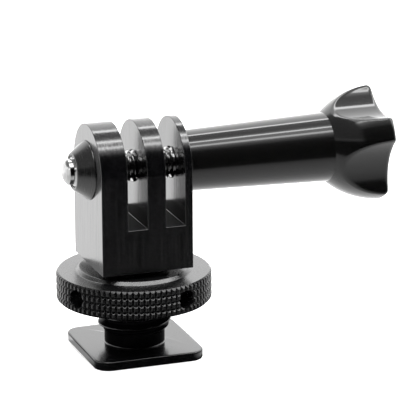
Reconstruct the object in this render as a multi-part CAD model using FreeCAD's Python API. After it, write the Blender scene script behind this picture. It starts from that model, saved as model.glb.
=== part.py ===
import FreeCAD, Part
import math
import os

# Swivel fork bracket: a shoe foot with a threaded stud, a knurled lock ring on the stud, and a
# three-prong fork block whose pivot is clamped by a long thumbscrew. Millimetres.
# Origin: centre of the foot's underside. +Z runs up the stud, +X points to the thumbscrew's knob.
V = FreeCAD.Vector
X_AXIS, Y_AXIS, Z_AXIS = V(1, 0, 0), V(0, 1, 0), V(0, 0, 1)

# Shoe foot and its stud
FOOT_X, FOOT_Y, FOOT_T = 18.1, 18.6, 1.5     # accessory-shoe foot
FOOT_CORNER_R = 2.5
FOOT_EDGE = 0.25                             # small chamfer round the plate
NECK_R = 4.85                                # thread relief above the plate
STUD_R, STUD_PITCH = 5.9, 1.5                # M12 x 1.5, crest radius
THREAD_Z0, THREAD_PHASE = 3.5, 3.25          # the thread's start, and where its groove crosses +X
SPIGOT_R, SPIGOT_LEN = 4.0, 5.5              # reduced end that holds the fork block
SPIGOT_END_GAP = 0.5                         # left over at the bottom of the block's hole

# Lock ring
RING_R, RING_Z0, RING_Z1 = 12.45, 8.85, 13.5 # knurled rim
RING_BEVEL = 0.35
HUB_R, HUB_TOP_R, HUB_Z = 9.3, 8.75, 14.05   # chamfered hub that jams against the block when screwed up
TOMMY_R, TOMMY_DEPTH, TOMMY_COUNT = 1.5, 3.6, 4
TOMMY_PHASE = 24.5                           # degrees from +X
PAD_IN_R, PAD_OUT_R, PAD_T = 7.0, 10.4, 0.75 # friction pad under the ring
PAD_PROUD = 0.2                              # how far the pad stands out of its groove
PAD_GAP = 0.05                               # between the pad and the walls of its groove

# Fork block
BLOCK_X, BLOCK_Y, BLOCK_Z0 = 15.0, 14.8, 15.0
PIVOT_Z = 30.55                              # height of the clamping axis
SLOT_FLOOR_Z = 22.1
SLOT_EDGES = ((-3.2, 0.0), (3.05, 6.25))     # the two slots, low and high X
PIVOT_HOLE_R = 2.55

# Cone nut in the -X cheek
CONE_R, CONE_TIP_R, CONE_H = 4.74, 2.95, 2.5
NUT_HEX_AF, NUT_HEX_DEPTH = 7.0, 3.2

# Clamp screw M5 x 0.8, 40 mm long
SCREW_R, SCREW_PITCH = 2.47, 0.8
SCREW_TIP_X, SCREW_LEN, SCREW_THREAD_LEN = -11.75, 40.0, 18.5
POINT_R, POINT_DOME_H, POINT_LEN = 2.07, 0.9, 1.5   # plain domed point, slim enough for the nut's thread
SCREW_HEAD_AF, SCREW_HEAD_H = 8.0, 3.5

# Thumb handle
HANDLE_X0, HANDLE_X1 = 8.1, 41.65            # washer face and end of the knob
SHAFT_R0, SHAFT_R1, SHAFT_X1 = 4.88, 5.6, 32.4
KNOB_R, KNOB_X = 9.3, 40.85                  # lobe radius, and where the rim's chamfer starts
FLARE_MID = (36.1, 8.1)                      # a point (X, radius) on the knob's round flare
LOBES, LOBE_PHASE = 4, 27.0                  # degrees of the top lobe from +Z, towards +Y
SCALLOP_R, SCALLOP_VALLEY_R = 10.5, 6.5
PLUG_R, PLUG_LEN, PLUG_EDGE = 4.7, 3.0, 0.2  # cap that closes the handle's hollow end

# Thrust washer under the handle
WASHER_IN_R, WASHER_OUT_R = 2.55, 4.75
WASHER_X0, WASHER_X1 = 7.55, 8.05

# Threads
FLANK_ANGLE = math.radians(30)
EXTERNAL_DEPTH, INTERNAL_DEPTH = 0.6134, 0.5413   # of the pitch
GROOVE_MOUTH = 0.875                              # of the pitch, at the crest
THREAD_CLEAR = 0.1                                # radial, at the major radius

OVERRUN = 1.0                                # how far a cutting shape runs past what it cuts


def tube(outer_r, inner_r, start, length, axis):
    """Round tube from the point start along the axis."""
    return (Part.makeCylinder(outer_r, length, start, axis)
            .cut(Part.makeCylinder(inner_r, length, start, axis)))


def hexagon(across_flats, start, length):
    """Hexagonal prism along +X."""
    corner_r = across_flats / math.sqrt(3)
    points = [V(start.x, start.y + corner_r * math.sin(math.radians(60 * i)),
                start.z + corner_r * math.cos(math.radians(60 * i))) for i in range(7)]
    return Part.Face(Part.makePolygon(points)).extrude(X_AXIS * length)


def revolved(edges, start, axis):
    """Solid turned from a closed outline of edges."""
    return Part.Face(Part.Wire(edges)).revolve(start, axis, 360)


def helix(radius, pitch, start_z):
    """One right-hand turn, starting over +X."""
    turn = Part.makeHelix(pitch, pitch, radius)
    turn.translate(V(0, 0, start_z))
    return turn.Edges[0]


def threaded_rod(crest_r, pitch, depth, bottom, top, phase):
    """Right-hand threaded rod up +Z; the middle of its groove crosses +X at the height phase."""
    root_r = crest_r - depth
    mouth = GROOVE_MOUTH * pitch / 2
    root = mouth - depth * math.tan(FLANK_ANGLE)
    profile = ((root_r, -root), (root_r, root), (crest_r, mouth),
               (crest_r, pitch - mouth), (root_r, pitch - root))
    faces = []
    for turn in range(math.floor((bottom - phase) / pitch) - 1, math.ceil((top - phase) / pitch) + 1):
        edges = [helix(radius, pitch, phase + turn * pitch + height) for radius, height in profile]
        faces += [Part.makeRuledSurface(low, high) for low, high in zip(edges, edges[1:])]
    blank = Part.makeCylinder(2 * crest_r, top - bottom, V(0, 0, bottom))
    pieces, _ = blank.generalFuse([Part.Shell(faces)])
    return min(pieces.Solids, key=lambda solid: solid.BoundBox.XLength)


def male_thread(crest_r, pitch, bottom, top, phase):
    return threaded_rod(crest_r, pitch, EXTERNAL_DEPTH * pitch, bottom, top, phase)


def tap(crest_r, pitch, bottom, top, phase):
    """Space that the matching internal thread leaves open."""
    return threaded_rod(crest_r + THREAD_CLEAR, pitch, INTERNAL_DEPTH * pitch, bottom, top, phase)


def at(x, radius):
    """Point of a turned outline along the pivot axis."""
    return V(x, 0, PIVOT_Z + radius)


def cap_arc(x, height, radius):
    """Outline arc of a spherical cap whose pole is at x and whose rim is height further along."""
    sphere_r = (height ** 2 + radius ** 2) / (2 * abs(height))
    half_angle = math.asin(radius / sphere_r) / 2
    middle = at(x + math.copysign(sphere_r * (1 - math.cos(half_angle)), height),
                sphere_r * math.sin(half_angle))
    return Part.Arc(at(x, 0), middle, at(x + height, radius)).toShape()


def line(start, end):
    return Part.LineSegment(start, end).toShape()


def stand_on_x(shape, start_x):
    """Turn a shape built up +Z so that it runs along +X from start_x on the pivot axis."""
    shape.rotate(V(), Y_AXIS, 90)
    shape.translate(V(start_x, 0, PIVOT_Z))
    return shape


def pivot(x):
    return V(x, 0, PIVOT_Z)


def shoe_foot():
    plate = Part.makeBox(FOOT_X, FOOT_Y, FOOT_T, V(-FOOT_X / 2, -FOOT_Y / 2, 0))
    upright = [e for e in plate.Edges if abs(e.tangentAt(e.FirstParameter).z) > 0.9]
    plate = plate.makeFillet(FOOT_CORNER_R, upright)
    level = [e for e in plate.Edges if e.BoundBox.ZLength < 1e-6]
    plate = plate.makeChamfer(FOOT_EDGE, level)
    neck = Part.makeCylinder(NECK_R, THREAD_Z0 - FOOT_T, V(0, 0, FOOT_T))
    thread = male_thread(STUD_R, STUD_PITCH, THREAD_Z0, BLOCK_Z0, THREAD_PHASE)
    length = BLOCK_Z0 - THREAD_Z0
    lead_in = Part.makeCone(NECK_R, NECK_R + length + OVERRUN, length + OVERRUN, V(0, 0, THREAD_Z0))
    thread = thread.common(lead_in)
    spigot = Part.makeCylinder(SPIGOT_R, SPIGOT_LEN, V(0, 0, BLOCK_Z0))
    return plate.fuse([neck, thread, spigot]).removeSplitter()


def lock_disc():
    outline = [V(0, 0, RING_Z0), V(RING_R - RING_BEVEL, 0, RING_Z0), V(RING_R, 0, RING_Z0 + RING_BEVEL),
               V(RING_R, 0, RING_Z1 - RING_BEVEL), V(RING_R - RING_BEVEL, 0, RING_Z1), V(HUB_R, 0, RING_Z1),
               V(HUB_TOP_R, 0, HUB_Z), V(0, 0, HUB_Z), V(0, 0, RING_Z0)]
    disc = revolved(Part.makePolygon(outline).Edges, V(), Z_AXIS)
    disc = disc.cut(tube(PAD_OUT_R, PAD_IN_R, V(0, 0, RING_Z0), PAD_T - PAD_PROUD + PAD_GAP, Z_AXIS))
    middle_z = (RING_Z0 + RING_Z1) / 2
    for i in range(TOMMY_COUNT):
        angle = math.radians(TOMMY_PHASE + i * 360 / TOMMY_COUNT)
        out = V(math.cos(angle), math.sin(angle), 0)
        start = out * (RING_R - TOMMY_DEPTH) + V(0, 0, middle_z)
        disc = disc.cut(Part.makeCylinder(TOMMY_R, TOMMY_DEPTH + OVERRUN, start, out))
    return disc.cut(tap(STUD_R, STUD_PITCH, RING_Z0 - OVERRUN, HUB_Z + OVERRUN, THREAD_PHASE))


def friction_pad():
    return tube(PAD_OUT_R - PAD_GAP, PAD_IN_R + PAD_GAP, V(0, 0, RING_Z0 - PAD_PROUD), PAD_T, Z_AXIS)


def fork_block():
    half = BLOCK_Y / 2
    outline = [line(V(0, -half, PIVOT_Z), V(0, -half, BLOCK_Z0)),
               line(V(0, -half, BLOCK_Z0), V(0, half, BLOCK_Z0)),
               line(V(0, half, BLOCK_Z0), V(0, half, PIVOT_Z)),
               Part.Arc(V(0, half, PIVOT_Z), V(0, 0, PIVOT_Z + half), V(0, -half, PIVOT_Z)).toShape()]
    block = Part.Face(Part.Wire(outline)).extrude(X_AXIS * BLOCK_X)
    block.translate(V(-BLOCK_X / 2, 0, 0))
    for low, high in SLOT_EDGES:
        slot_start = V(low, -BLOCK_Y, SLOT_FLOOR_Z)
        block = block.cut(Part.makeBox(high - low, 2 * BLOCK_Y, BLOCK_X + BLOCK_Y, slot_start))
    hole_start = pivot(-BLOCK_X / 2 - OVERRUN)
    block = block.cut(Part.makeCylinder(PIVOT_HOLE_R, BLOCK_X + 2 * OVERRUN, hole_start, X_AXIS))
    block = block.cut(hexagon(NUT_HEX_AF, pivot(-BLOCK_X / 2), NUT_HEX_DEPTH))
    return block.cut(Part.makeCylinder(SPIGOT_R, SPIGOT_LEN + SPIGOT_END_GAP, V(0, 0, BLOCK_Z0)))


def cone_nut():
    base_x = -BLOCK_X / 2
    cone = Part.makeCone(CONE_TIP_R, CONE_R, CONE_H, pivot(base_x - CONE_H), X_AXIS)
    nut = cone.fuse(hexagon(NUT_HEX_AF, pivot(base_x), NUT_HEX_DEPTH)).removeSplitter()
    nut_end = base_x + NUT_HEX_DEPTH - SCREW_TIP_X
    thread = stand_on_x(tap(SCREW_R, SCREW_PITCH, 0, nut_end + OVERRUN, 0), SCREW_TIP_X)
    return nut.cut(thread)


def clamp_screw():
    rod = stand_on_x(male_thread(SCREW_R, SCREW_PITCH, 0, SCREW_THREAD_LEN, 0), SCREW_TIP_X)
    thread_x = SCREW_TIP_X + SCREW_THREAD_LEN
    point_x = SCREW_TIP_X + POINT_LEN
    length = thread_x + OVERRUN - point_x
    rod = rod.common(Part.makeCone(POINT_R - OVERRUN, POINT_R + length, length + OVERRUN,
                                   pivot(point_x - OVERRUN), X_AXIS))
    rod = rod.cut(Part.makeCylinder(2 * SCREW_R, POINT_LEN, pivot(SCREW_TIP_X), X_AXIS))
    dome_x = SCREW_TIP_X + POINT_DOME_H
    point = revolved([cap_arc(SCREW_TIP_X, POINT_DOME_H, POINT_R),
                      line(at(dome_x, POINT_R), at(point_x, POINT_R)),
                      line(at(point_x, POINT_R), at(point_x, 0)),
                      line(at(point_x, 0), at(SCREW_TIP_X, 0))], pivot(0), X_AXIS)
    head_x = SCREW_TIP_X + SCREW_LEN
    shank = Part.makeCylinder(SCREW_R, head_x - thread_x, pivot(thread_x), X_AXIS)
    head = hexagon(SCREW_HEAD_AF, pivot(head_x), SCREW_HEAD_H)
    return rod.fuse([point, shank, head]).removeSplitter()


def thumb_handle():
    rim_r = KNOB_R - (HANDLE_X1 - KNOB_X)
    outline = [line(at(HANDLE_X0, 0), at(HANDLE_X0, SHAFT_R0)),
               line(at(HANDLE_X0, SHAFT_R0), at(SHAFT_X1, SHAFT_R1)),
               Part.Arc(at(SHAFT_X1, SHAFT_R1), at(*FLARE_MID), at(KNOB_X, KNOB_R)).toShape(),
               line(at(KNOB_X, KNOB_R), at(HANDLE_X1, rim_r)),
               line(at(HANDLE_X1, rim_r), at(HANDLE_X1, 0)),
               line(at(HANDLE_X1, 0), at(HANDLE_X0, 0))]
    handle = revolved(outline, pivot(0), X_AXIS)
    for i in range(LOBES):
        angle = math.radians(LOBE_PHASE + (i + 0.5) * 360 / LOBES)
        out = V(0, math.sin(angle), math.cos(angle))
        start = pivot(SHAFT_X1 - OVERRUN) + out * (SCALLOP_VALLEY_R + SCALLOP_R)
        handle = handle.cut(Part.makeCylinder(SCALLOP_R, HANDLE_X1, start, X_AXIS))
    head_x = SCREW_TIP_X + SCREW_LEN
    bore = Part.makeCylinder(SCREW_R, head_x - HANDLE_X0 + 2 * OVERRUN, pivot(HANDLE_X0 - OVERRUN), X_AXIS)
    pocket = hexagon(SCREW_HEAD_AF, pivot(head_x), SCREW_HEAD_H)
    hollow_x = head_x + SCREW_HEAD_H
    hollow = Part.makeCylinder(PLUG_R, HANDLE_X1, pivot(hollow_x), X_AXIS)
    return handle.cut([bore, pocket, hollow])


def handle_plug():
    plug = Part.makeCylinder(PLUG_R, PLUG_LEN, pivot(HANDLE_X1 - PLUG_LEN), X_AXIS)
    rim = [edge for edge in plug.Edges if edge.BoundBox.XMin > HANDLE_X1 - PLUG_EDGE]
    return plug.makeChamfer(PLUG_EDGE, rim)


def thrust_washer():
    return tube(WASHER_OUT_R, WASHER_IN_R, pivot(WASHER_X0), WASHER_X1 - WASHER_X0, X_AXIS)


PIECES = {"shoe_foot": shoe_foot, "fork_block": fork_block, "cone_nut": cone_nut,
          "lock_disc": lock_disc, "friction_pad": friction_pad, "clamp_screw": clamp_screw,
          "thumb_handle": thumb_handle, "handle_plug": handle_plug, "thrust_washer": thrust_washer}

os.makedirs("parts", exist_ok=True)
for name, make in PIECES.items():
    shape = make()
    shape.exportStep("parts/" + name + ".step")
    box = shape.BoundBox
    print(f"{name:14s} solids {len(shape.Solids)} valid {shape.isValid()} volume {shape.Volume:9.2f}")
    print(f"  X {box.XMin:.2f} to {box.XMax:.2f}  Y {box.YMin:.2f} to {box.YMax:.2f}"
          f"  Z {box.ZMin:.2f} to {box.ZMax:.2f}")
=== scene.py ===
import bpy
import bmesh
import math
from mathutils import Matrix, Vector


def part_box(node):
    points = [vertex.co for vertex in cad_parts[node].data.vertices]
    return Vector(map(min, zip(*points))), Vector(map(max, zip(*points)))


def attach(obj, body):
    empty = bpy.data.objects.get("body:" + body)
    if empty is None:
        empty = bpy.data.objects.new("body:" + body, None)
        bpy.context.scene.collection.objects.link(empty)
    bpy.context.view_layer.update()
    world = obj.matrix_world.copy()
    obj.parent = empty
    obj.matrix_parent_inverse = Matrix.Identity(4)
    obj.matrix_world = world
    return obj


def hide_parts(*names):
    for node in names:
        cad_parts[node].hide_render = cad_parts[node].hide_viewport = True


# Swivel fork bracket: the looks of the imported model. Shapes are built in millimetres round the
# model's own origin and scaled to metres when they are done.
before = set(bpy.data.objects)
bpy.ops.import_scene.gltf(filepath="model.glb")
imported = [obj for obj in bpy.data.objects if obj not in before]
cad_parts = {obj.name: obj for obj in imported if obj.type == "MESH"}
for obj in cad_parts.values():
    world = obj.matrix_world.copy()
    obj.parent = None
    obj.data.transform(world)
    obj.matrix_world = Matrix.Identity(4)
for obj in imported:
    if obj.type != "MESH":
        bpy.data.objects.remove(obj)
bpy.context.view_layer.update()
MM = 0.001


def box_mm(node):
    """Lowest and highest corner of a CAD node, in millimetres."""
    low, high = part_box(node)
    return Vector(low) / MM, Vector(high) / MM


FOOT_LOW, FOOT_HIGH = box_mm("shoe_foot")
RING_LOW, RING_HIGH = box_mm("lock_disc")
BLOCK_LOW, BLOCK_HIGH = box_mm("fork_block")
NUT_LOW, NUT_HIGH = box_mm("cone_nut")
SCREW_LOW, SCREW_HIGH = box_mm("clamp_screw")
HANDLE_LOW, HANDLE_HIGH = box_mm("thumb_handle")
PLUG_LOW, PLUG_HIGH = box_mm("handle_plug")
PIVOT_Z = BLOCK_HIGH.z - BLOCK_HIGH.y        # the prongs' tops are round about the pivot

# Shoe foot and stud
FOOT_T, FOOT_CORNER_R, FOOT_EDGE = 1.5, 2.5, 0.25
NECK_R, STUD_R, STUD_PITCH, THREAD_Z0, STUD_PHASE = 4.85, 5.9, 1.5, 3.5, 3.25
SPIGOT_R, SPIGOT_ROUND, SPIGOT_END_GAP, NECK_FILLET = 4.0, 0.3, 0.5, 0.18
CORNER_STEPS = 12                            # mesh steps round a corner of the plate
CREST_BAND = 0.12                            # outer part of the thread that keeps the plate's finish; inside it the stud gets painted shade
# Lock ring
RIM_TOP_Z, HUB_R, HUB_TOP_R = 13.5, 9.3, 8.75
RIM_BEVEL = 0.35
RIM_BAND = 0.05                              # the knurl's finish starts this far inside the bevel
BORE_INSET, BORE_ROUND, BORE_TOP_ROUND, HUB_ROUND = 0.4, 0.3, 0.25, 0.08
KNURL_COLUMNS, KNURL_ROWS, KNURL_DEPTH, KNURL_FLANK = 86, 4, 0.34, 1.25
KNURL_STEPS = 12                             # mesh steps in one tooth, each way
KNURL_MARGIN = 0.1                           # the rows' grooves stop this far from the rim's edges
TOMMY_R, TOMMY_DEPTH, TOMMY_COUNT, TOMMY_PHASE = 1.5, 3.6, 4, 24.5
DRILL_POINT = 0.6                            # of the hole's radius
PAD_IN_R, PAD_OUT_R, PAD_GROOVE = 7.0, 10.4, 0.6
# Fork block
SLOT_EDGES, SLOT_FLOOR_Z, PIVOT_HOLE_R = ((-3.2, 0.0), (3.05, 6.25)), 22.1, 2.55
BLOCK_EDGE, BLOCK_EDGE_STEPS = 0.1, 3
# Cone nut
CONE_TIP_R, CONE_R, HEX_AF = 2.95, 4.74, 7.0
CONE_LAND, CONE_TIP_ROUND, CONE_ROUND = 0.12, 0.12, 0.08
NUT_MOUTH, NUT_MOUTH_DEPTH = 1.25, 0.3       # countersink round the thread
# Clamp screw
SCREW_R, SCREW_PITCH, THREAD_LEN = 2.47, 0.8, 18.5
POINT_R, POINT_DOME_H, POINT_LEN = 2.07, 0.9, 1.5
HEAD_AF, HEAD_H = 8.0, 3.5
DOME_STEPS, RUNOUT, RUNOUT_DROP = 12, 0.6, 0.5
HEAD_OVERLAP = 0.5                           # how far the shank runs into the head
# Thumb handle
SHAFT_R0, SHAFT_R1, SHAFT_X1 = 4.88, 5.6, 32.4
KNOB_R, KNOB_X, FLARE_MID = 9.3, 40.85, (36.1, 8.1)
RIM_ROUND = HANDLE_HIGH.x - KNOB_X           # how far the knob's rim is rounded, inwards and along X
LOBES, LOBE_PHASE, SCALLOP_R, SCALLOP_VALLEY_R = 4, 27.0, 10.5, 6.5
LOBE_BLEND = 0.4                             # width over which a scallop's edge is rounded
COLLAR_ROUND, BORE_MOUTH, BORE_MOUTH_DEPTH, FIT_GAP = 0.2, 0.25, 0.3, 0.02
HANDLE_STEPS, SHAFT_STEPS, KNOB_STEPS, END_STEPS = 360, 24, 96, 4
PLUG_ROUND, PLUG_INNER_ROUND = 0.2, 0.3
# Threads, as parts of the pitch
EXTERNAL_DEPTH, INTERNAL_DEPTH, GROOVE_MOUTH, THREAD_CLEAR = 0.6134, 0.5413, 0.875, 0.1
FLANK_ANGLE = math.radians(30)

FINE, ROUND, COARSE, HOLE = 192, 128, 96, 64  # steps round a large, small, hidden or drilled shape
OVERRUN = 1.0                                # how far a cutting shape runs past what it cuts
SUNK, SHY = 0.1, 0.05                        # overlap of joined shapes, and small clearance
BURIED = 0.3                                 # how deep an end lies inside what it is joined to
LEVEL, FACING_UP = 0.99, 0.9                 # Z of a normal: flat face, and face that looks up


# ---------------------------------------------------------------- mesh helpers

def mesh_piece(name, points, faces):
    """New object from points and faces, with its normals outwards."""
    mesh = bpy.data.meshes.new(name)
    mesh.from_pydata(points, [], faces)
    edit = bmesh.new()
    edit.from_mesh(mesh)
    bmesh.ops.recalc_face_normals(edit, faces=edit.faces)
    edit.to_mesh(mesh)
    edit.free()
    piece = bpy.data.objects.new(name, mesh)
    bpy.context.collection.objects.link(piece)
    return piece


def skin(name, rings, closed=False):
    """Faces between successive rings. A ring of one point is a pole; closed joins last to first."""
    points, starts, faces = [], [], []
    for ring in rings:
        starts.append(len(points))
        points += ring
    pairs = list(zip(range(len(rings)), range(1, len(rings))))
    if closed:
        pairs.append((len(rings) - 1, 0))
    for a, b in pairs:
        steps = max(len(rings[a]), len(rings[b]))
        for i in range(steps):
            j = (i + 1) % steps
            corners = ([starts[a]] if len(rings[a]) == 1 else [starts[a] + i, starts[a] + j])
            corners += ([starts[b]] if len(rings[b]) == 1 else [starts[b] + j, starts[b] + i])
            faces.append(corners)
    return mesh_piece(name, points, faces)


def around_z(z, radius, steps=FINE):
    """Ring about the stud's axis. radius is a number, or a function of the angle."""
    if radius == 0:
        return [(0, 0, z)]
    ring = []
    for i in range(steps):
        angle = 2 * math.pi * i / steps
        r = radius(angle) if callable(radius) else radius
        ring.append((r * math.cos(angle), r * math.sin(angle), z))
    return ring


def around_x(x, radius, steps=ROUND):
    """Ring about the pivot axis; its angle runs from +Z towards +Y."""
    if radius == 0:
        return [(x, 0, PIVOT_Z)]
    angles = [2 * math.pi * i / steps for i in range(steps)]
    return [(x, radius * math.sin(a), PIVOT_Z + radius * math.cos(a)) for a in angles]


def rounded(corners, steps=4):
    """Outline (along, radius) from corners (along, radius, size), each rounded off by its size."""
    outline = []
    for i, (along, radius, size) in enumerate(corners):
        if size == 0:
            outline.append((along, radius))
            continue
        here = Vector((along, radius))
        before = (Vector(corners[i - 1][:2]) - here).normalized() * size
        after = (Vector(corners[(i + 1) % len(corners)][:2]) - here).normalized() * size
        for k in range(steps + 1):
            t = k / steps
            outline.append(tuple(here + before * (1 - t) ** 2 + after * t ** 2))
    return outline


def turned_z(name, corners, steps=FINE):
    return skin(name, [around_z(z, r, steps) for z, r in rounded(corners)])


def turned_x(name, corners, steps=ROUND):
    return skin(name, [around_x(x, r, steps) for x, r in rounded(corners)])


def bar(name, outline, low, high):
    """Closed prism along X between low and high; its outline holds (Y, Z) points."""
    count = len(outline)
    points = [(x, y, z) for x in (low, high) for y, z in outline]
    faces = [[i, (i + 1) % count, count + (i + 1) % count, count + i] for i in range(count)]
    return mesh_piece(name, points, faces + [list(range(count)), list(range(count, 2 * count))])


def hexagon(across_flats):
    corner_r = across_flats / math.sqrt(3)
    return [(corner_r * math.sin(math.radians(60 * i)),
             PIVOT_Z + corner_r * math.cos(math.radians(60 * i))) for i in range(6)]


def settle(piece):
    """Apply a piece's modifiers to its mesh."""
    depsgraph = bpy.context.evaluated_depsgraph_get()
    shaped = bpy.data.meshes.new_from_object(piece.evaluated_get(depsgraph))
    plain = piece.data
    piece.modifiers.clear()
    piece.data = shaped
    bpy.data.meshes.remove(plain)


def combine(piece, tool, operation):
    """Exact boolean; the tool is used up."""
    boolean = piece.modifiers.new("boolean", "BOOLEAN")
    boolean.operation, boolean.object, boolean.solver = operation, tool, "EXACT"
    settle(piece)
    bpy.data.objects.remove(tool)


def other_finish_or_painted_shade(piece, material, belongs):
    """Give the faces that belongs() picks, by middle in millimetres and normal, their own finish, or on the
    stud a painted shade.
    """
    piece.data.materials.append(material)
    for face in piece.data.polygons:
        if belongs(face.center / MM, face.normal):
            face.material_index = 1


def finish_piece(piece, body, node, material, sharp=35):
    """Smooth the piece except at its sharp edges, scale it to metres and hand it to the frame."""
    piece.data.shade_smooth()
    piece.data.set_sharp_from_angle(angle=math.radians(sharp))
    weighted = piece.modifiers.new("normals", "WEIGHTED_NORMAL")
    weighted.keep_sharp = True
    settle(piece)
    piece.data.transform(Matrix.Scale(MM, 4))
    piece.data.materials.clear()
    piece.data.materials.append(material)
    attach(piece, body)
    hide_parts(node)


def threaded_rod(name, crest_r, pitch, depth, bottom, top, phase, steps=ROUND):
    """Closed right-hand threaded bar up +Z, longer than bottom to top: a boolean trims its ends."""
    mouth = GROOVE_MOUTH * pitch / 2
    root_r, root = crest_r - depth, mouth - depth * math.tan(FLANK_ANGLE)
    crest_round = (pitch - 2 * mouth) * math.cos(FLANK_ANGLE)
    profile = [(-root, root_r), (root, root_r)]
    for lean in range(-60, 61, 20):
        angle = math.radians(lean)
        profile.append((pitch / 2 + crest_round * math.sin(angle),
                        crest_r - crest_round * (1 - math.cos(angle))))
    first, last = math.floor((bottom - phase) / pitch) - 2, math.ceil((top - phase) / pitch) + 2
    rows = [(phase + turn * pitch + height, radius)
            for turn in range(first, last) for height, radius in profile]
    points = []
    for height, radius in rows:
        for i in range(steps):
            angle = 2 * math.pi * i / steps
            points.append((radius * math.cos(angle), radius * math.sin(angle),
                           height + pitch * i / steps))
    turn_rows, end = len(profile), len(rows) - 1
    faces = [[r * steps + i, r * steps + i + 1, (r + 1) * steps + i + 1, (r + 1) * steps + i]
             for r in range(end) for i in range(steps - 1)]
    faces += [[r * steps + steps - 1, (r + turn_rows) * steps, (r + 1 + turn_rows) * steps,
               (r + 1) * steps + steps - 1] for r in range(end - turn_rows)]
    start_loop = list(range(steps)) + [r * steps for r in range(turn_rows, 0, -1)]
    end_loop = ([end * steps + i for i in range(steps)]
                + [(end - k) * steps + steps - 1 for k in range(1, turn_rows + 1)])
    for loop, z in ((start_loop, rows[0][0] - pitch), (end_loop, rows[-1][0] + 2 * pitch)):
        pole = len(points)
        points.append((0, 0, z))
        faces += [[pole, a, b] for a, b in zip(loop, loop[1:] + loop[:1])]
    return mesh_piece(name, points, faces)


def tap(name, crest_r, pitch, bottom, top, phase):
    """The space that a matching internal thread leaves open."""
    return threaded_rod(name, crest_r + THREAD_CLEAR, pitch, INTERNAL_DEPTH * pitch, bottom, top, phase)


def lay_on_x(piece, start_x):
    """Turn a piece built up +Z so that it runs along +X from start_x on the pivot axis."""
    turn = Matrix.Translation((start_x, 0, PIVOT_Z)) @ Matrix.Rotation(math.radians(90), 4, "Y")
    piece.data.transform(turn)
    return piece


# ---------------------------------------------------------------- pieces

def rounded_plate_ring(z, inset):
    """Outline of the foot plate, drawn in by inset."""
    ring = []
    corner_r = FOOT_CORNER_R - inset
    for quarter, (sign_x, sign_y) in enumerate(((1, 1), (-1, 1), (-1, -1), (1, -1))):
        centre_x = sign_x * (FOOT_HIGH.x - FOOT_CORNER_R)
        centre_y = sign_y * (FOOT_HIGH.y - FOOT_CORNER_R)
        for step in range(CORNER_STEPS + 1):
            angle = math.radians(90 * quarter + 90 / CORNER_STEPS * step)
            ring.append((centre_x + corner_r * math.cos(angle), centre_y + corner_r * math.sin(angle), z))
    return ring


def shoe_foot(material, shaded_stud_material):
    inner = 4 * FOOT_EDGE
    profile = rounded([(0, inner, 0), (0, 0, FOOT_EDGE), (FOOT_T, 0, FOOT_EDGE), (FOOT_T, inner, 0)])
    plate = [rounded_plate_ring(z, inset) for z, inset in profile]
    foot = skin("foot", [[(0, 0, 0)]] + plate + [[(0, 0, FOOT_T)]])
    stud_top, spigot_top, fillet_r = BLOCK_LOW.z, FOOT_HIGH.z, NECK_R + NECK_FILLET
    core = turned_z("core", [(FOOT_T / 2, 0, 0), (FOOT_T / 2, fillet_r, 0), (FOOT_T, fillet_r, 0),
                             (FOOT_T, NECK_R, NECK_FILLET), (stud_top, NECK_R, 0),
                             (stud_top, SPIGOT_R, 0), (spigot_top, SPIGOT_R, SPIGOT_ROUND),
                             (spigot_top, 0, 0)], ROUND)
    thread = threaded_rod("thread", STUD_R, STUD_PITCH, EXTERNAL_DEPTH * STUD_PITCH,
                          THREAD_Z0, stud_top, STUD_PHASE)
    wide = NECK_R + stud_top - THREAD_Z0
    envelope = turned_z("envelope", [(THREAD_Z0, 0, 0), (THREAD_Z0, NECK_R - SUNK, 0),
                                     (stud_top - SHY, wide, 0), (stud_top - SHY, 0, 0)], COARSE)
    combine(thread, envelope, "INTERSECT")
    combine(foot, core, "UNION")
    combine(foot, thread, "UNION")
    foot.name = "shoe_foot_mesh"
    finish_piece(foot, "base", "shoe_foot", material)
    # Painted shade: the stud inside the crest band gets a copy of the plate's finish that hardly reflects,
    # as if shaded by the plate and lock ring.
    crest_r, fillet_top = STUD_R - CREST_BAND, FOOT_T + NECK_FILLET
    other_finish_or_painted_shade(foot, shaded_stud_material,
                  lambda at, normal: at.z > fillet_top and math.hypot(at.x, at.y) < crest_r)


def groove_depth(distance):
    """Depth of a knurl's V-groove at a distance from its middle."""
    return max(0.0, KNURL_DEPTH - KNURL_FLANK * distance)


def knurled_radius(z):
    """The rim's radius at height z, as a function of the angle."""
    row_pitch = (RIM_TOP_Z - RING_LOW.z) / KNURL_ROWS
    row_place = (z - RING_LOW.z) / row_pitch % 1
    row_cut = groove_depth(min(row_place, 1 - row_place) * row_pitch)
    edge = min(z - RING_LOW.z, RIM_TOP_Z - z)
    bevel_cut = max(0.0, RIM_BEVEL - edge)
    column_pitch = 2 * math.pi * RING_HIGH.x / KNURL_COLUMNS

    def radius(angle):
        place = angle / (2 * math.pi) * KNURL_COLUMNS % 1
        column_cut = groove_depth(min(place, 1 - place) * column_pitch)
        cut = max(row_cut if KNURL_MARGIN < edge else 0.0, column_cut)
        return RING_HIGH.x - max(cut, bevel_cut)
    return radius


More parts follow.
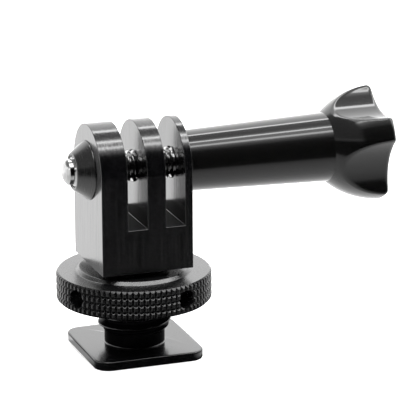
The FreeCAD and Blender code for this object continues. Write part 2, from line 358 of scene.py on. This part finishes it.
def lock_disc(material, knurl_material):
    steps = KNURL_COLUMNS * KNURL_STEPS
    bore_r = STUD_R - BORE_INSET
    bottom, top = RING_LOW.z, RING_HIGH.z
    under = rounded([(top, bore_r, 0), (bottom, bore_r, BORE_ROUND), (bottom, PAD_IN_R, 0),
                     (bottom + PAD_GROOVE, PAD_IN_R, 0), (bottom + PAD_GROOVE, PAD_OUT_R, 0),
                     (bottom, PAD_OUT_R, 0)])[1:]
    row_count = KNURL_ROWS * KNURL_STEPS
    rim_heights = [bottom + (RIM_TOP_Z - bottom) * i / row_count for i in range(row_count + 1)]
    upper = rounded([(RIM_TOP_Z, RING_HIGH.x, 0), (RIM_TOP_Z, HUB_R, HUB_ROUND),
                     (top, HUB_TOP_R, HUB_ROUND), (top, bore_r, BORE_TOP_ROUND), (bottom, bore_r, 0)])[1:-1]
    rings = ([around_z(z, r, steps) for z, r in under]
             + [around_z(z, knurled_radius(z), steps) for z in rim_heights]
             + [around_z(z, r, steps) for z, r in upper])
    disc = skin("lock_ring_mesh", rings, closed=True)
    floor_x, outside_x = RING_HIGH.x - TOMMY_DEPTH, RING_HIGH.x + OVERRUN
    for i in range(TOMMY_COUNT):
        drill = skin("drill", [[(floor_x - TOMMY_R * DRILL_POINT, 0, 0)], drill_ring(floor_x),
                               drill_ring(outside_x), [(outside_x, 0, 0)]])
        turn = Matrix.Rotation(math.radians(TOMMY_PHASE + 360 * i / TOMMY_COUNT), 4, "Z")
        drill.data.transform(Matrix.Translation((0, 0, (bottom + RIM_TOP_Z) / 2)) @ turn)
        combine(disc, drill, "DIFFERENCE")
    combine(disc, tap("tap", STUD_R, STUD_PITCH, bottom, top, STUD_PHASE), "DIFFERENCE")
    finish_piece(disc, "lock_ring", "lock_disc", material, 30)
    rim_r = RING_HIGH.x - RIM_BEVEL - RIM_BAND
    other_finish_or_painted_shade(disc, knurl_material,
                  lambda at, normal: math.hypot(at.x, at.y) > rim_r and abs(normal.z) < LEVEL)


def drill_ring(x):
    angles = [2 * math.pi * i / HOLE for i in range(HOLE)]
    return [(x, TOMMY_R * math.cos(a), TOMMY_R * math.sin(a)) for a in angles]


def fork_block(material, floor_material):
    half = BLOCK_HIGH.y
    turns = [math.pi * i / COARSE for i in range(COARSE + 1)]
    outline = [(half * math.cos(turn), PIVOT_Z + half * math.sin(turn)) for turn in turns]
    outline += [(-half, BLOCK_LOW.z), (half, BLOCK_LOW.z)]
    block = bar("fork_block_mesh", outline, BLOCK_LOW.x, BLOCK_HIGH.x)
    for low, high in SLOT_EDGES:
        wide = 2 * half
        slot = bar("slot", [(-wide, SLOT_FLOOR_Z), (wide, SLOT_FLOOR_Z), (wide, BLOCK_HIGH.z + OVERRUN),
                            (-wide, BLOCK_HIGH.z + OVERRUN)], low, high)
        combine(block, slot, "DIFFERENCE")
    left_x, right_x = BLOCK_LOW.x - OVERRUN, BLOCK_HIGH.x + OVERRUN
    drill = turned_x("drill", [(left_x, 0, 0), (left_x, PIVOT_HOLE_R, 0),
                               (right_x, PIVOT_HOLE_R, 0), (right_x, 0, 0)], HOLE)
    combine(block, drill, "DIFFERENCE")
    combine(block, bar("recess", hexagon(HEX_AF), left_x, NUT_HIGH.x), "DIFFERENCE")
    below_z, socket_z = BLOCK_LOW.z - OVERRUN, FOOT_HIGH.z + SPIGOT_END_GAP
    socket = turned_z("socket", [(below_z, 0, 0), (below_z, SPIGOT_R, 0),
                                 (socket_z, SPIGOT_R, 0), (socket_z, 0, 0)], HOLE)
    combine(block, socket, "DIFFERENCE")
    bevel = block.modifiers.new("edges", "BEVEL")
    bevel.width, bevel.segments, bevel.limit_method = BLOCK_EDGE, BLOCK_EDGE_STEPS, "ANGLE"
    bevel.angle_limit = math.radians(40)
    bevel.harden_normals = True
    settle(block)
    finish_piece(block, "base", "fork_block", material, 40)
    other_finish_or_painted_shade(block, floor_material,
                  lambda at, normal: abs(at.z - SLOT_FLOOR_Z) < SHY and normal.z > FACING_UP)


def cone_nut(material):
    base_x, tip_x = BLOCK_LOW.x, NUT_LOW.x
    nut = turned_x("cone_nut_mesh", [(tip_x, 0, 0), (tip_x, CONE_TIP_R, CONE_TIP_ROUND),
                                     (base_x - CONE_LAND, CONE_R, CONE_ROUND),
                                     (base_x + SHY, CONE_R, 0), (base_x + SHY, 0, 0)], FINE)
    combine(nut, bar("shank", hexagon(HEX_AF), base_x - BURIED, NUT_HIGH.x), "UNION")
    length = NUT_HIGH.x - SCREW_LOW.x
    combine(nut, lay_on_x(tap("tap", SCREW_R, SCREW_PITCH, 0, length, 0), SCREW_LOW.x), "DIFFERENCE")
    mouth_x = tip_x + NUT_MOUTH_DEPTH
    mouth = turned_x("mouth", [(tip_x - OVERRUN, 0, 0), (tip_x - OVERRUN, SCREW_R + NUT_MOUTH, 0),
                               (mouth_x, SCREW_R - SHY, 0), (mouth_x, 0, 0)], COARSE)
    combine(nut, mouth, "DIFFERENCE")
    finish_piece(nut, "base", "cone_nut", material)


def domed_point(tip_x, point_x):
    """The screw's plain end, with a spherical dome."""
    sphere_r = (POINT_R ** 2 + POINT_DOME_H ** 2) / (2 * POINT_DOME_H)
    leans = [math.asin(POINT_R / sphere_r) * i / DOME_STEPS for i in range(DOME_STEPS + 1)]
    outline = [(tip_x + sphere_r * (1 - math.cos(lean)), sphere_r * math.sin(lean)) for lean in leans]
    outline += [(point_x + BURIED, POINT_R), (point_x + BURIED, 0)]
    return skin("point", [around_x(x, r, COARSE) for x, r in outline])


def clamp_screw(material):
    tip_x, head_x = SCREW_LOW.x, SCREW_HIGH.x - HEAD_H
    thread_x = tip_x + THREAD_LEN
    rod = lay_on_x(threaded_rod("clamp_screw_mesh", SCREW_R, SCREW_PITCH, EXTERNAL_DEPTH * SCREW_PITCH,
                                0, THREAD_LEN, 0), tip_x)
    point_x, wide = tip_x + POINT_LEN, 2 * SCREW_R
    envelope = turned_x("envelope", [(point_x, 0, 0), (point_x, POINT_R - SUNK, 0),
                                     (point_x + wide - POINT_R, wide - SUNK, 0), (thread_x, wide, 0),
                                     (thread_x, 0, 0)], COARSE)
    combine(rod, envelope, "INTERSECT")
    combine(rod, domed_point(tip_x, point_x), "UNION")
    runout_x, shank_r, shank_end = thread_x - RUNOUT, SCREW_R - SHY, head_x + HEAD_OVERLAP
    shank = turned_x("shank", [(runout_x, 0, 0), (runout_x, SCREW_R - RUNOUT_DROP, 0),
                               (thread_x, shank_r, 0), (shank_end, shank_r, 0), (shank_end, 0, 0)], COARSE)
    combine(rod, shank, "UNION")
    combine(rod, bar("head", hexagon(HEAD_AF), head_x, SCREW_HIGH.x), "UNION")
    finish_piece(rod, "thumbscrew", "clamp_screw", material)


def arc_through(start, middle, end):
    """Centre and radius of the circle through three (X, radius) points."""
    (ax, ay), (bx, by), (cx, cy) = start, middle, end
    d = 2 * (ax * (by - cy) + bx * (cy - ay) + cx * (ay - by))
    ux = ((ax**2 + ay**2) * (by - cy) + (bx**2 + by**2) * (cy - ay) + (cx**2 + cy**2) * (ay - by)) / d
    uy = ((ax**2 + ay**2) * (cx - bx) + (bx**2 + by**2) * (ax - cx) + (cx**2 + cy**2) * (bx - ax)) / d
    return ux, uy, math.hypot(ax - ux, ay - uy)


def flare_radius(x):
    """Radius of the handle's turned outside at x, before the scallops."""
    if x <= SHAFT_X1:
        return SHAFT_R0 + (SHAFT_R1 - SHAFT_R0) * (x - HANDLE_LOW.x) / (SHAFT_X1 - HANDLE_LOW.x)
    centre_x, centre_y, arc_r = arc_through((SHAFT_X1, SHAFT_R1), FLARE_MID, (KNOB_X, KNOB_R))
    if x >= KNOB_X:
        return KNOB_R
    return centre_y + math.sqrt(arc_r ** 2 - (x - centre_x) ** 2)


def scallop_radius(angle):
    """Radius at which the nearest scallop cuts the knob, at an angle from +Z towards +Y."""
    sector = 2 * math.pi / LOBES
    valley = math.radians(LOBE_PHASE) + sector / 2
    off = (angle - valley + sector / 2) % sector - sector / 2
    reach = SCALLOP_VALLEY_R + SCALLOP_R
    inside = SCALLOP_R ** 2 - (reach * math.sin(off)) ** 2
    if inside <= 0:
        return 2 * KNOB_R
    return reach * math.cos(off) - math.sqrt(inside)


def softer_min(a, b):
    """The lower of a and b, rounded where they cross."""
    gap = max(LOBE_BLEND - abs(a - b), 0) / LOBE_BLEND
    return min(a, b) - gap * gap * LOBE_BLEND / 4


def thumb_handle(material):
    steps = HANDLE_STEPS
    angles = [2 * math.pi * i / steps for i in range(steps)]
    limits = [scallop_radius(angle) for angle in angles]
    start_x = HANDLE_LOW.x

    def ring(place):
        """place(limit) gives (x, radius) for a scallop limit."""
        points = []
        for angle, limit in zip(angles, limits):
            x, r = place(limit)
            points.append((x, r * math.sin(angle), PIVOT_Z + r * math.cos(angle)))
        return points

    def side(x):
        return ring(lambda limit: (x, softer_min(flare_radius(x), limit)))

    def rim(turn):
        """turn goes round the knob's rim, from 0 at its side to 90 degrees at its end."""
        def place(limit):
            return (KNOB_X + RIM_ROUND * math.sin(turn),
                    softer_min(KNOB_R, limit) - RIM_ROUND * (1 - math.cos(turn)))
        return ring(place)

    def end(share):
        """share runs from 0 at the rim to 1 at the plug."""
        def place(limit):
            edge_r = softer_min(KNOB_R, limit) - RIM_ROUND
            return HANDLE_HIGH.x, edge_r + (plug_r - edge_r) * share
        return ring(place)

    plug_r = PLUG_HIGH.y + FIT_GAP
    pocket_x, bore_r = SCREW_HIGH.x - HEAD_H, SCREW_R + FIT_GAP
    collar_r = SHAFT_R0 - COLLAR_ROUND
    rings = [around_x(pocket_x, bore_r, steps), around_x(start_x + BORE_MOUTH_DEPTH, bore_r, steps),
             around_x(start_x, bore_r + BORE_MOUTH, steps), around_x(start_x, collar_r, steps)]
    rings += [around_x(start_x + COLLAR_ROUND * (1 - math.cos(math.radians(a))),
                       collar_r + COLLAR_ROUND * math.sin(math.radians(a)), steps) for a in (30, 60, 90)]
    shaft_x, shaft_length = start_x + 2 * COLLAR_ROUND, SHAFT_X1 - SHY - start_x - 2 * COLLAR_ROUND
    rings += [side(shaft_x + shaft_length * i / SHAFT_STEPS) for i in range(SHAFT_STEPS + 1)]
    rings += [side(SHAFT_X1 + (KNOB_X - SHAFT_X1) * i / KNOB_STEPS) for i in range(KNOB_STEPS + 1)]
    rings += [rim(math.radians(turn)) for turn in range(15, 91, 15)]
    rings += [end(share / END_STEPS) for share in range(1, END_STEPS + 1)]
    rings += [around_x(PLUG_LOW.x, plug_r, steps), around_x(pocket_x, plug_r, steps)]
    handle = skin("thumb_handle_mesh", rings, closed=True)
    finish_piece(handle, "thumbscrew", "thumb_handle", material, 28)


def handle_plug(material):
    radius, end_x = PLUG_HIGH.y, PLUG_HIGH.x
    plug = turned_x("handle_plug_mesh", [(end_x, 0, 0), (end_x, radius, PLUG_ROUND),
                                         (PLUG_LOW.x, radius, PLUG_INNER_ROUND), (PLUG_LOW.x, 0, 0)], FINE)
    finish_piece(plug, "thumbscrew", "handle_plug", material)


# ---------------------------------------------------------------- materials

NOISE_LOW, NOISE_HIGH = 0.3, 0.7             # the part of a noise's range that is used
CLOUD_GRAIN, LATHE_GRAIN, FINE_GRAIN = (900, 900, 900), (14000, 300, 300), (9000, 9000, 9000)
ANODISED_DARK, ANODISED_LIGHT = (0.0012, 0.0012, 0.0014), (0.003, 0.003, 0.0034)
SKIN_IOR = 1.48


def new_material(name):
    material = bpy.data.materials.new(name)
    material.use_nodes = True
    nodes = material.node_tree.nodes
    return material, nodes, material.node_tree.links, nodes["Principled BSDF"]


def grain(nodes, links, per_metre, detail=3.0):
    """Noise in object space with a size for each axis, given as features per metre."""
    coords = nodes.new("ShaderNodeTexCoord")
    mapping = nodes.new("ShaderNodeMapping")
    mapping.inputs["Scale"].default_value = per_metre
    noise = nodes.new("ShaderNodeTexNoise")
    noise.inputs["Scale"].default_value = 1.0
    noise.inputs["Detail"].default_value = detail
    links.new(coords.outputs["Object"], mapping.inputs["Vector"])
    links.new(mapping.outputs["Vector"], noise.inputs["Vector"])
    return noise.outputs["Fac"]


def spread(nodes, links, source, low, high, target):
    """Drive a socket between low and high by a noise."""
    ranged = nodes.new("ShaderNodeMapRange")
    ranged.inputs["From Min"].default_value = NOISE_LOW
    ranged.inputs["From Max"].default_value = NOISE_HIGH
    ranged.inputs["To Min"].default_value = low
    ranged.inputs["To Max"].default_value = high
    links.new(source, ranged.inputs["Value"])
    links.new(ranged.outputs["Result"], target)


def tint(nodes, links, source, dark, light, target):
    """Drive a colour socket between two colours by a noise."""
    ramp = nodes.new("ShaderNodeValToRGB")
    ramp.color_ramp.elements[0].position = NOISE_LOW
    ramp.color_ramp.elements[1].position = NOISE_HIGH
    ramp.color_ramp.elements[0].color = (*dark, 1)
    ramp.color_ramp.elements[1].color = (*light, 1)
    links.new(source, ramp.inputs["Fac"])
    links.new(ramp.outputs["Color"], target)


def bump(nodes, links, source, height, shader):
    """Height is in metres."""
    node = nodes.new("ShaderNodeBump")
    node.inputs["Distance"].default_value = height
    links.new(source, node.inputs["Height"])
    links.new(node.outputs["Normal"], shader.inputs["Normal"])
    return node.outputs["Normal"]


def anodised(name, per_metre, roughness, ior, height, contrast=0.04):
    """Black anodised aluminium with its machining marks running along the axis of smallest scale."""
    material, nodes, links, shader = new_material(name)
    shader.inputs["IOR"].default_value = ior
    marks = grain(nodes, links, per_metre)
    cloud = grain(nodes, links, CLOUD_GRAIN, 4.0)
    spread(nodes, links, marks, *roughness, shader.inputs["Roughness"])
    spread(nodes, links, marks, 0.5 - contrast, 0.5 + contrast, shader.inputs["Specular IOR Level"])
    tint(nodes, links, cloud, ANODISED_DARK, ANODISED_LIGHT, shader.inputs["Base Color"])
    bump(nodes, links, marks, height, shader)
    return material


def turned_steel(name, metallic, colours, roughness, ior, height):
    """Steel with fine rings from the lathe round the pivot axis."""
    material, nodes, links, shader = new_material(name)
    shader.inputs["Metallic"].default_value = metallic
    shader.inputs["IOR"].default_value = ior
    rings = grain(nodes, links, LATHE_GRAIN)
    spread(nodes, links, rings, *roughness, shader.inputs["Roughness"])
    tint(nodes, links, rings, *colours, shader.inputs["Base Color"])
    bump(nodes, links, rings, height, shader)
    return material


def moulded(name, colours, roughness, ior, per_metre, height, skin_gloss=None):
    """Moulded plastic with a faint unevenness, and a skin of its own gloss where one is given."""
    material, nodes, links, shader = new_material(name)
    shader.inputs["IOR"].default_value = ior
    wave = grain(nodes, links, per_metre)
    fine = grain(nodes, links, FINE_GRAIN)
    spread(nodes, links, fine, *roughness, shader.inputs["Roughness"])
    tint(nodes, links, fine, *colours, shader.inputs["Base Color"])
    unevenness = bump(nodes, links, wave, height, shader)
    if skin_gloss:
        shader.inputs["Coat Weight"].default_value = 1.0
        shader.inputs["Coat IOR"].default_value = SKIN_IOR
        spread(nodes, links, fine, *skin_gloss, shader.inputs["Coat Roughness"])
        links.new(unevenness, shader.inputs["Coat Normal"])
    return material


# ---------------------------------------------------------------- studio

# Brightness of the studio round the pivot's direction: 0 degrees is straight up, 90 the front
# horizon, -90 the back one. A bright backdrop, two narrow strips overhead, a dark front, a pale table.
STUDIO = ((-180, 1.1), (-117, 1.6), (-107, 2.2), (-89, 2.2), (-73, 2.1), (-33, 2.1), (-30, 9.5),
          (-27, 9.5), (-24, 0.6), (-3, 0.6), (4, 2.4), (6, 12.0), (9, 12.0), (11, 2.4), (20, 2.4),
          (22, 8.5), (26, 8.5), (29, 2.0), (36, 0.7), (45, 0.0), (107, 0.0), (111, 0.1), (114, 0.36),
          (117, 0.58), (130, 0.86), (153, 1.0), (180, 1.1))
# Brightness by the sine of the elevation at the studio's two ends, and to the upper left.
SIDES = ((-1.0, 1.0), (-0.5, 1.0), (-0.3, 1.5), (0.25, 1.5), (0.4, 0.3), (1.0, 0.3))
# Where the ends, the left and the upper part of the studio set in, as parts of a unit direction.
ENDS_FROM, LEFT_FROM, UPPER_FROM = (0.92, 0.98), (0.35, 0.5), (0.25, 0.4)
FLOOR_SIZE, FLOOR_STEPS, FLOOR_DROP, FLOOR_GLOW = 3.0, 4, 0.00002, 0.55
# Painted reflection discs: their steps, the Y range over which their painted shade turns to painted light,
# and the ray length over which they fade out.
PAINTED_DISC_STEPS, PAINTED_SHADE_RAMP, PAINTED_REFLECTION_FADE = 48, (-0.005, 0.001), 0.8
LAMP_PLACE, LAMP_SIZE, LAMP_POWER = (0.0, -0.1, 0.6), (0.6, 0.4), 2.0
# The camera's direction and lean in degrees, what it aims at and its distance in metres, its lens.
AZIMUTH, ELEVATION, ROLL = 19.589, 16.563, 0.207
AIM, DISTANCE, LENS, SENSOR = (0.0113, -0.00345, 0.02342), 0.45116, 246.27, 36


def fill_ramp(node, stops, low, high):
    """Grey stops at places between low and high."""
    elements = node.color_ramp.elements
    while len(elements) > 1:
        elements.remove(elements[-1])
    for i, (place, value) in enumerate(stops):
        position = (place - low) / (high - low)
        element = elements[0] if i == 0 else elements.new(position)
        element.position = position
        element.color = (value, value, value, 1)


def studio_world():
    world = bpy.data.worlds.new("studio")
    world.use_nodes = True
    bpy.context.scene.world = world
    nodes, links = world.node_tree.nodes, world.node_tree.links
    background = nodes["Background"]
    coords, split = nodes.new("ShaderNodeTexCoord"), nodes.new("ShaderNodeSeparateXYZ")
    links.new(coords.outputs["Generated"], split.inputs["Vector"])

    def math_node(operation, *inputs):
        node = nodes.new("ShaderNodeMath")
        node.operation = operation
        for socket, value in zip(node.inputs, inputs):
            if isinstance(value, (int, float)):
                socket.default_value = value
            else:
                links.new(value, socket)
        return node.outputs["Value"]

    front = math_node("MULTIPLY", split.outputs["Y"], -1)
    turn = math_node("ARCTAN2", front, split.outputs["Z"])
    place = math_node("MULTIPLY_ADD", turn, 0.5 / math.pi, 0.5)
    studio, sides = nodes.new("ShaderNodeValToRGB"), nodes.new("ShaderNodeValToRGB")
    fill_ramp(studio, STUDIO, -180, 180)
    fill_ramp(sides, SIDES, -1, 1)
    links.new(place, studio.inputs["Fac"])
    links.new(math_node("MULTIPLY_ADD", split.outputs["Z"], 0.5, 0.5), sides.inputs["Fac"])

    def step_node(source, low, high):
        node = nodes.new("ShaderNodeMapRange")
        node.interpolation_type = "SMOOTHSTEP"
        node.inputs["From Min"].default_value, node.inputs["From Max"].default_value = low, high
        links.new(source, node.inputs["Value"])
        return node.outputs["Result"]

    ends = step_node(math_node("ABSOLUTE", split.outputs["X"]), *ENDS_FROM)
    left = step_node(math_node("MULTIPLY", split.outputs["X"], -1), *LEFT_FROM)
    upper_left = math_node("MULTIPLY", left, step_node(split.outputs["Z"], *UPPER_FROM))
    sideways = math_node("MAXIMUM", ends, upper_left)
    mixed, shown = nodes.new("ShaderNodeMix"), nodes.new("ShaderNodeMix")
    for mix in (mixed, shown):
        mix.data_type = "RGBA"
    links.new(sideways, mixed.inputs[0])
    links.new(studio.outputs["Color"], mixed.inputs[6])
    links.new(sides.outputs["Color"], mixed.inputs[7])
    path = nodes.new("ShaderNodeLightPath")
    links.new(path.outputs["Is Camera Ray"], shown.inputs[0])
    links.new(mixed.outputs[2], shown.inputs[6])
    shown.inputs[7].default_value = (1, 1, 1, 1)
    links.new(shown.outputs[2], background.inputs["Color"])


def floor():
    size, steps = FLOOR_SIZE, FLOOR_STEPS
    rows = [[((x / steps - 0.5) * size, (y / steps - 0.5) * size, -FLOOR_DROP) for x in range(steps + 1)]
            for y in range(steps + 1)]
    points = [point for row in rows for point in row]
    width = steps + 1
    faces = [[y * width + x, y * width + x + 1, (y + 1) * width + x + 1, (y + 1) * width + x]
             for y in range(steps) for x in range(steps)]
    sheet = mesh_piece("floor", points, faces)
    material, nodes, links, shader = new_material("floor_white")
    tint(nodes, links, grain(nodes, links, (30, 30, 30)), (0.8, 0.8, 0.8), (0.82, 0.82, 0.82),
         shader.inputs["Base Color"])
    shader.inputs["Roughness"].default_value = 0.8
    shader.inputs["Emission Color"].default_value = (1, 1, 1, 1)
    shader.inputs["Emission Strength"].default_value = FLOOR_GLOW
    sheet.data.materials.append(material)
    sheet.visible_glossy = False


def painted_reflection_disc(name, middle, reach, height, near, lightest):
    """Painted reflection: a disc seen only in near reflections, with painted shade (black) in front and a
    painted glow as light as lightest behind, in place of the floor's shade round the foot. Metres.
    """
    angles = [2 * math.pi * i / PAINTED_DISC_STEPS for i in range(PAINTED_DISC_STEPS)]
    rim = [(middle[0] + reach * math.cos(a), middle[1] + reach * math.sin(a), height) for a in angles]
    disc = skin(name, [[(*middle, height)], rim])
    material, nodes, links, shader = new_material(name)
    coords, split = nodes.new("ShaderNodeTexCoord"), nodes.new("ShaderNodeSeparateXYZ")
    shade = nodes.new("ShaderNodeMapRange")
    shade.inputs["From Min"].default_value, shade.inputs["From Max"].default_value = PAINTED_SHADE_RAMP
    shade.inputs["To Min"].default_value, shade.inputs["To Max"].default_value = 0.0, lightest
    links.new(coords.outputs["Object"], split.inputs["Vector"])
    links.new(split.outputs["Y"], shade.inputs["Value"])
    # Painted light: the disc glows behind, though it is no lamp; in front it stays black as painted shade.
    links.new(shade.outputs["Result"], shader.inputs["Emission Strength"])
    shader.inputs["Emission Color"].default_value = (1, 1, 1, 1)
    shader.inputs["Base Color"].default_value = (0, 0, 0, 1)
    shader.inputs["Specular IOR Level"].default_value = 0.0
    path, far = nodes.new("ShaderNodeLightPath"), nodes.new("ShaderNodeMapRange")
    far.inputs["From Min"].default_value, far.inputs["From Max"].default_value = PAINTED_REFLECTION_FADE * near, near
    links.new(path.outputs["Ray Length"], far.inputs["Value"])
    clear, mix = nodes.new("ShaderNodeBsdfTransparent"), nodes.new("ShaderNodeMixShader")
    links.new(far.outputs["Result"], mix.inputs[0])
    links.new(shader.outputs["BSDF"], mix.inputs[1])
    links.new(clear.outputs["BSDF"], mix.inputs[2])
    links.new(mix.outputs["Shader"], nodes["Material Output"].inputs["Surface"])
    disc.data.materials.append(material)
    disc.visible_camera = disc.visible_diffuse = disc.visible_shadow = False


def overhead_light():
    light = bpy.data.lights.new("overhead", "AREA")
    light.shape, light.energy = "RECTANGLE", LAMP_POWER
    light.size, light.size_y = LAMP_SIZE
    lamp = bpy.data.objects.new("overhead", light)
    bpy.context.collection.objects.link(lamp)
    lamp.location = LAMP_PLACE
    lamp.visible_glossy = False


def camera():
    azimuth, elevation, roll = (math.radians(a) for a in (AZIMUTH, ELEVATION, ROLL))
    data = bpy.data.cameras.new("camera")
    data.lens, data.sensor_width, data.clip_start = LENS, SENSOR, 0.01
    view = bpy.data.objects.new("camera", data)
    bpy.context.collection.objects.link(view)
    facing = (Matrix.Rotation(-azimuth, 4, "Z") @ Matrix.Rotation(math.pi / 2 - elevation, 4, "X")
              @ Matrix.Rotation(-roll, 4, "Z"))
    place = Vector(AIM) + facing.to_3x3() @ Vector((0, 0, DISTANCE))
    view.matrix_world = Matrix.Translation(place) @ facing
    bpy.context.scene.camera = view


def finishes():
    """The materials by use. Each is given its grain per metre, roughness, IOR and bump in metres."""
    return dict(
        block=anodised("block_black", (4500, 2200, 130), (0.12, 0.2), 1.78, 0.000006, 0.12),
        slot=anodised("slot_black", (9000, 900, 900), (0.6, 0.7), 1.24, 0.000004),
        # Painted shade: the plate's finish with an IOR near 1, so the stud hardly reflects, as if in the
        # shade of the plate and lock ring.
        stud=anodised("stud_painted_shade", (2000, 2000, 9000), (0.16, 0.2), 1.05, 0.000002),
        knurl=anodised("knurl_black", (6000, 6000, 6000), (0.24, 0.3), 1.5, 0.000003),
        ring=anodised("ring_black", (5000, 5000, 5000), (0.24, 0.32), 1.8, 0.000002),
        foot=anodised("foot_black", (6000, 6000, 6000), (0.16, 0.22), 1.66, 0.0000015),
        nut=turned_steel("nut_dark", 0.0, ((0.002, 0.002, 0.002), (0.006, 0.006, 0.006)),
                         (0.2, 0.28), 1.7, 0.000002),
        screw=turned_steel("bright_steel", 1.0, ((0.36, 0.36, 0.36), (0.46, 0.46, 0.46)),
                           (0.12, 0.2), 1.5, 0.000001),
        handle=moulded("gloss_black", ((0.0012, 0.0012, 0.0012), (0.0022, 0.0022, 0.0022)),
                       (0.36, 0.42), 1.2, (350, 350, 350), 0.000006, (0.03, 0.06)),
        thrust_washer=moulded("washer_black", ((0.006, 0.006, 0.006), (0.012, 0.012, 0.012)),
                              (0.4, 0.5), 1.5, (4000, 4000, 4000), 0.000003),
        friction_pad=moulded("pad_black", ((0.01, 0.01, 0.01), (0.02, 0.02, 0.02)),
                             (0.6, 0.75), 1.5, (5000, 5000, 5000), 0.00001))


def main():
    finish = finishes()
    shoe_foot(finish["foot"], finish["stud"])
    lock_disc(finish["ring"], finish["knurl"])
    fork_block(finish["block"], finish["slot"])
    cone_nut(finish["nut"])
    clamp_screw(finish["screw"])
    thumb_handle(finish["handle"])
    handle_plug(finish["handle"])
    for node in ("friction_pad", "thrust_washer"):
        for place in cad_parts[node].material_slots:
            place.material = finish[node]
    floor()
    # Painted shade in near reflections round the foot, neck and stud, with a painted glow behind the foot,
    # in place of the shaded floor.
    painted_reflection_disc("low_painted_reflection", (-0.003, -0.004), 0.016, -0.001, 0.02, 0.9)
    painted_reflection_disc("high_painted_shade", (0.0, 0.0), 0.03, 0.0012, 0.022, 0.0)
    studio_world()
    overhead_light()
    camera()
    bpy.context.scene.view_settings.view_transform = "Standard"


main()
